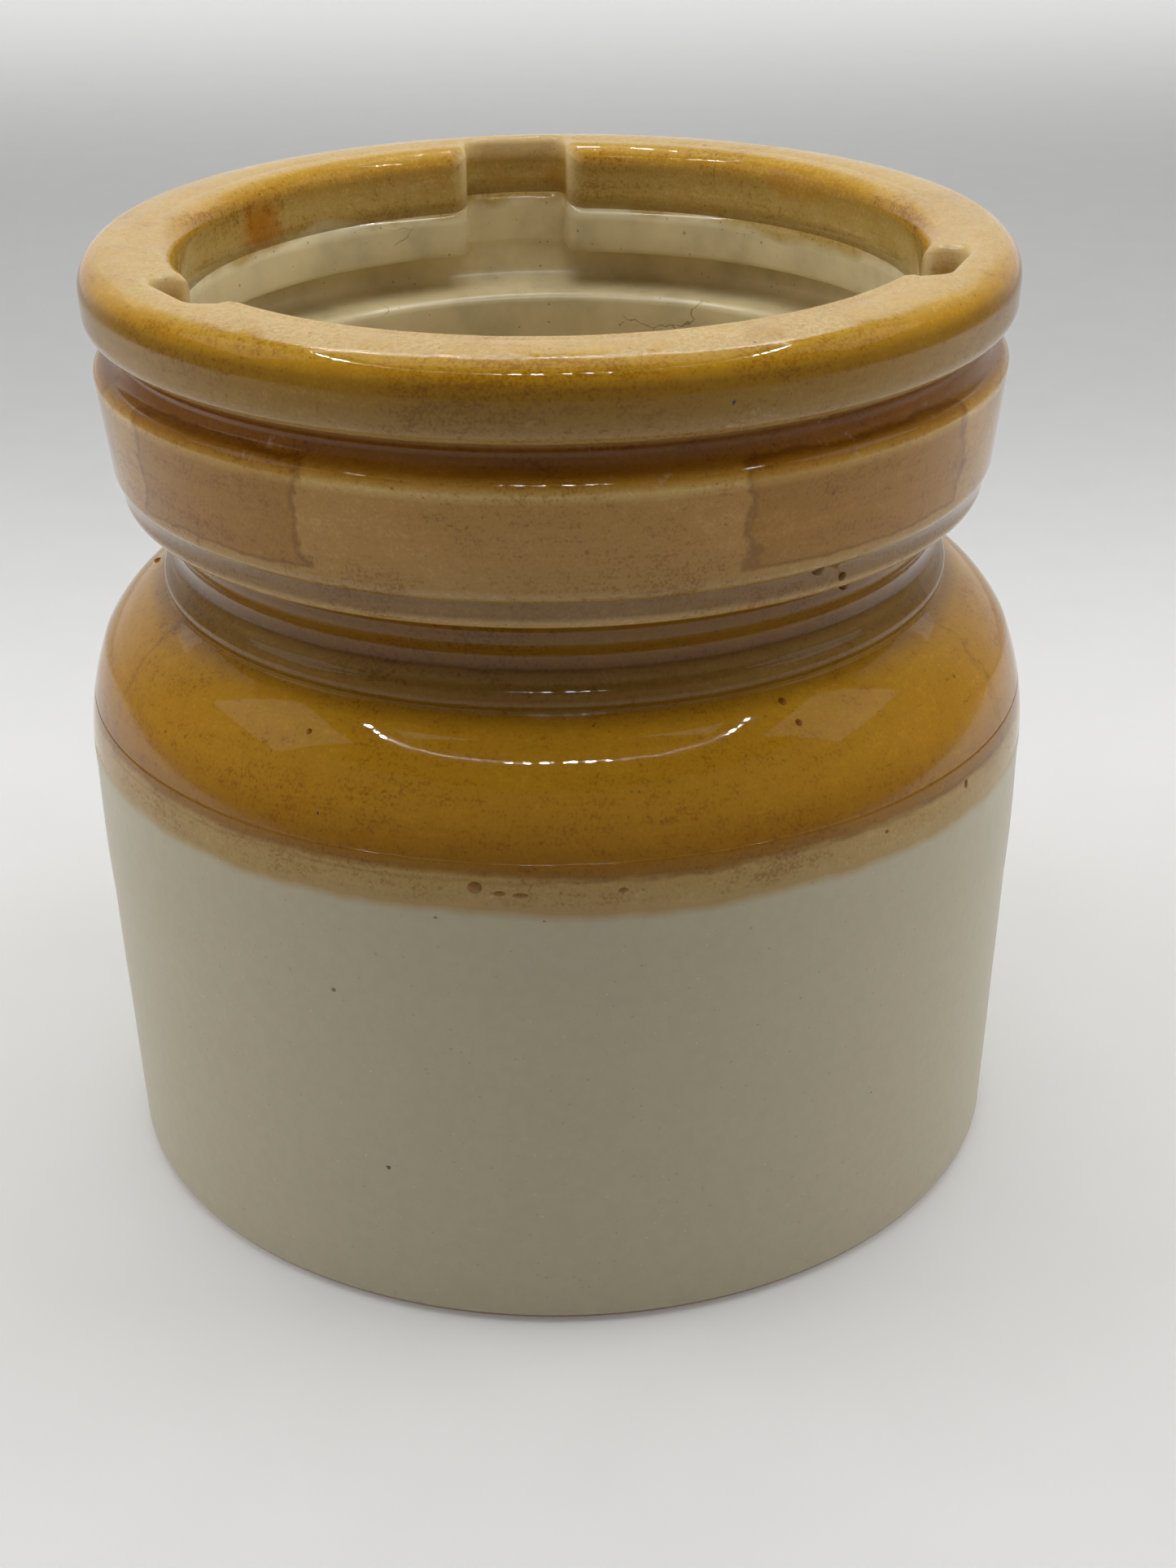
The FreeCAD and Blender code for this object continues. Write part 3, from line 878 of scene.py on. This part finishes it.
class CROCK_OT_kiln_marks(bpy.types.Operator):
    """Models the small blisters and nodules that stand proud of the glaze"""
    bl_idname = "crock.kiln_marks"
    bl_label = "Kiln marks"

    def execute(self, context):
        settings = context.scene.crock
        outer = [p for p in trace(FOOT_EDGE, [FOOT], WALL, NECK, COLLAR) if p[1] > 0]
        radii, heights = [p[0] for p in outer], [p[1] for p in outer]
        bm = bmesh.new()
        for azimuth, z, long, tall, proud in KILN_MARKS:
            r = float(np.interp(z, heights, radii))
            turn = math.radians(azimuth)
            depth = proud + 0.35
            mark = bmesh.ops.create_icosphere(bm, subdivisions=3, radius=1.0)["verts"]
            bmesh.ops.scale(bm, vec=Vector((depth, long, tall)) * MM, verts=mark)
            bmesh.ops.translate(bm, vec=Vector((r - depth + proud - SUNK, 0, z)) * MM, verts=mark)
            bmesh.ops.rotate(bm, cent=(0, 0, 0), matrix=Matrix.Rotation(turn, 3, "Z"), verts=mark)
        material = glaze_material("Kiln_mark_glaze", shared_groups(settings), settings.ochre,
                                  settings.ripple * 4, 0.6, tint=(0.62, 0.46, 0.30))
        add_piece("Kiln_marks", bm, material, [])
        return {"FINISHED"}


# ---------------------------------------------------------------- stage, lights, camera

CAMERA_AT = Vector((0.0, -0.3518, 0.2247))
CAMERA_PITCH = math.radians(26.24)
CAMERA_YAW = math.radians(0.74)
CAMERA_ROLL = math.radians(-0.65)


def camera_matrix():
    """Camera turned by yaw, then pitched down, then rolled about its own line of sight."""
    cy, sy, cp, sp = (math.cos(CAMERA_YAW), math.sin(CAMERA_YAW),
                      math.cos(CAMERA_PITCH), math.sin(CAMERA_PITCH))
    ahead = Vector((sy * cp, cy * cp, -sp))
    right = Vector((cy, -sy, 0))
    up = right.cross(ahead)
    cr, sr = math.cos(CAMERA_ROLL), math.sin(CAMERA_ROLL)
    x_axis, y_axis = right * cr + up * sr, up * cr - right * sr
    turn = Matrix((x_axis, y_axis, -ahead)).transposed()
    return Matrix.Translation(CAMERA_AT) @ turn.to_4x4()


def add_area(name, place, aim, size, power, lights=True, mirrored=True):
    """A soft rectangular light out of the camera's sight.

    One with lights off shows only as a reflection, and one with mirrored off only lights."""
    data = bpy.data.lights.new(name, "AREA")
    data.shape = "RECTANGLE"
    data.size, data.size_y = size
    data.energy = power
    lamp = bpy.data.objects.new(name, data)
    lamp.location = place
    lamp.rotation_euler = (Vector(aim) - Vector(place)).to_track_quat("-Z", "Y").to_euler()
    lamp.visible_camera = False
    lamp.visible_diffuse = lights
    lamp.visible_glossy = mirrored
    bpy.context.scene.collection.objects.link(lamp)
    return lamp


# the round floor and the backdrop it curves up into, in metres as (radius, height)
FLOOR_END, FLOOR_BEND, WALL_FOOT, WALL_TOP = (1.2, 0), (1.412, 0.088), (1.5, 0.3), (1.5, 1.6)
LAMP_HEIGHT = 0.45
LAMP_COUNT = 56
LAMP_HALF_WIDTH, LAMP_HALF_DEPTH, LAMP_MIDDLE_Y = 0.205, 0.175, -0.043
LAMP_ROUNDNESS = 0.88       # 1 is an ellipse and less is a rounded rectangle
LAMP_SIZE = (0.013, 0.005)
LAMP_RING_SIZE = (0.40, 0.34)
RING_LIGHT, RING_GLEAM = 0.72, 3.6      # times the ring's power, as light and as reflection
WINDOW_GLEAM = 0.30                     # times a side panel's power, as reflection
SIDE_PANEL_SIZE = (0.42, 0.30)


class CROCK_OT_stage(bpy.types.Operator):
    """Sets up the floor, the backdrop, the soft lights and the camera"""
    bl_idname = "crock.stage"
    bl_label = "Stage and camera"

    def execute(self, context):
        settings = context.scene.crock_stage
        scene = context.scene
        bm = bmesh.new()
        # a round floor that curves up into a backdrop on every side
        line = [(0, 0), (0.4, 0), (0.8, 0), FLOOR_END]
        line += arc(FLOOR_END, FLOOR_BEND, WALL_FOOT, 0.05)
        line.append(WALL_TOP)
        verts = [bm.verts.new((r, 0, z)) for r, z in line]
        edges = [bm.edges.new(pair) for pair in zip(verts, verts[1:])]
        bmesh.ops.spin(bm, geom=verts + edges, cent=(0, 0, 0), axis=(0, 0, 1), dvec=(0, 0, 0),
                       angle=2 * math.pi, steps=96, use_merge=True, use_duplicate=False)
        bmesh.ops.remove_doubles(bm, verts=bm.verts, dist=1e-6)
        bmesh.ops.recalc_face_normals(bm, faces=bm.faces)
        mesh = bpy.data.meshes.new("Backdrop")
        for face in bm.faces:
            face.smooth = True
        bm.to_mesh(mesh)
        bm.free()
        backdrop = bpy.data.objects.new("Backdrop", mesh)
        scene.collection.objects.link(backdrop)
        paper = bpy.data.materials.new("Backdrop_paper")
        paper.use_nodes = True
        n = Nodes(paper.node_tree)
        shader = n.tree.nodes["Principled BSDF"]
        place = n.add("ShaderNodeTexCoord").outputs["Object"]
        # painted shade on the paper: darker towards the sides, the front and behind the pot,
        # lightest round it, over a faint mottle
        shade = n.math("ADD", 0.97, n.math("MULTIPLY", n.noise(place, 60.0, 4.0), 0.06))
        parts = n.add("ShaderNodeSeparateXYZ", place).outputs
        far = n.math("ADD", n.math("MULTIPLY", parts[0], parts[0]),
                     n.math("MULTIPLY", n.math("MINIMUM", parts[1], 0.0), parts[1]))
        shade = n.math("MULTIPLY", shade, n.math("SUBTRACT", 1.0, n.math(
            "MULTIPLY", n.step(far, 0.25, 1.4), 0.55)))
        shade = n.math("MULTIPLY", shade, n.math("SUBTRACT", 1.0, n.math(
            "MULTIPLY", n.step(parts[1], 0.10, 0.40), 0.24)))
        tint = n.mix(1.0, (*settings.floor_colour, 1), shade, "MULTIPLY")
        n.tree.links.new(tint, shader.inputs["Base Color"])
        shader.inputs["Roughness"].default_value = 0.9
        shader.inputs["Emission Color"].default_value = (1, 1, 1, 1)
        # painted light: the paper glows a little everywhere and more towards the back
        painted_glow = n.math("ADD", 0.10, n.math("MULTIPLY", n.step(parts[1], 0.6, 1.15), 0.30))
        n.tree.links.new(painted_glow, shader.inputs["Emission Strength"])
        shader.inputs["Specular IOR Level"].default_value = 0.1
        mesh.materials.append(paper)

        for side, name in ((-1, "Left"), (1, "Right")):
            panel_at, aim = (side * 0.58, 0.05, 0.27), (0, 0, 0.07)
            add_area(f"{name}_wall_panel", panel_at, aim, SIDE_PANEL_SIZE,
                     settings.side_light, mirrored=False)
            add_area(f"{name}_soft_window", panel_at, aim, SIDE_PANEL_SIZE,
                     settings.side_light * WINDOW_GLEAM, lights=False)
            add_area(f"{name}_upper_panel", (side * 0.42, 0.0, 0.48), (0, 0, 0.08),
                     (0.26, 0.22), settings.side_light * 0.10)
        add_area("Roof_panel", (0.0, 0.12, 0.85), (0, 0.05, 0), (0.7, 0.5),
                 settings.side_light * 0.8)
        add_area("Back_floor_panel", (0.0, 1.15, 0.8), (0.0, 1.1, 0.0), (2.0, 0.5),
                 settings.side_light * 1.3)
        add_area("Lamp_ring_light", (0, LAMP_MIDDLE_Y, LAMP_HEIGHT), (0, LAMP_MIDDLE_Y, 0),
                 LAMP_RING_SIZE, settings.lamp_frame * RING_LIGHT, mirrored=False)
        for i in range(LAMP_COUNT):
            turn = 2 * math.pi * (i + 0.5) / LAMP_COUNT
            c, s = math.cos(turn), math.sin(turn)
            x = math.copysign(LAMP_HALF_WIDTH * abs(c) ** LAMP_ROUNDNESS, c)
            y = LAMP_MIDDLE_Y + math.copysign(LAMP_HALF_DEPTH * abs(s) ** LAMP_ROUNDNESS, s)
            lamp = add_area(f"Lamp_{i:02d}", (x, y, LAMP_HEIGHT), (0, 0, 0), LAMP_SIZE,
                            settings.lamp_frame * RING_GLEAM / LAMP_COUNT, lights=False)
            lamp.rotation_euler = (0, 0, turn + math.pi / 2)
        world = bpy.data.worlds.new("Room")
        world.use_nodes = True
        background = world.node_tree.nodes["Background"]
        background.inputs["Color"].default_value = (1.0, 0.985, 0.96, 1)
        background.inputs["Strength"].default_value = settings.surround
        scene.world = world

        data = bpy.data.cameras.new("Camera")
        data.sensor_fit = "HORIZONTAL"
        data.sensor_width = 36.0
        data.lens = settings.focal_length
        data.clip_start = 0.01
        camera = bpy.data.objects.new("Camera", data)
        scene.collection.objects.link(camera)
        camera.matrix_world = camera_matrix()
        bpy.context.scene.camera = camera
        scene.view_settings.view_transform = "Standard"
        return {"FINISHED"}


class CROCK_PT_panel(bpy.types.Panel):
    """Lists the crock's pieces and sizes in the sidebar"""
    bl_idname = "CROCK_PT_panel"
    bl_label = "Butter crock"
    bl_space_type = "VIEW_3D"
    bl_region_type = "UI"
    bl_category = "Crock"

    def draw(self, context):
        layout = self.layout
        for operator in OPERATORS:
            layout.operator(operator.bl_idname)
        for group in (context.scene.crock, context.scene.crock_stage):
            for key in group.__annotations__:
                layout.prop(group, key)


OPERATORS = (CROCK_OT_stage, CROCK_OT_ochre_glaze, CROCK_OT_cream_glaze, CROCK_OT_lining_glaze,
             CROCK_OT_stoneware_body, CROCK_OT_kiln_marks)
CLASSES = (CrockSettings, StageSettings, *OPERATORS, CROCK_PT_panel)


def register():
    for cls in CLASSES:
        bpy.utils.register_class(cls)
    bpy.types.Scene.crock = PointerProperty(type=CrockSettings)
    bpy.types.Scene.crock_stage = PointerProperty(type=StageSettings)


def unregister():
    del bpy.types.Scene.crock_stage
    del bpy.types.Scene.crock
    for cls in reversed(CLASSES):
        bpy.utils.unregister_class(cls)


def main():
    register()
    for operator in OPERATORS:
        group, name = operator.bl_idname.split(".")
        getattr(getattr(bpy.ops, group), name)()
    bpy.context.view_layer.update()


if __name__ == "__main__":
    main()
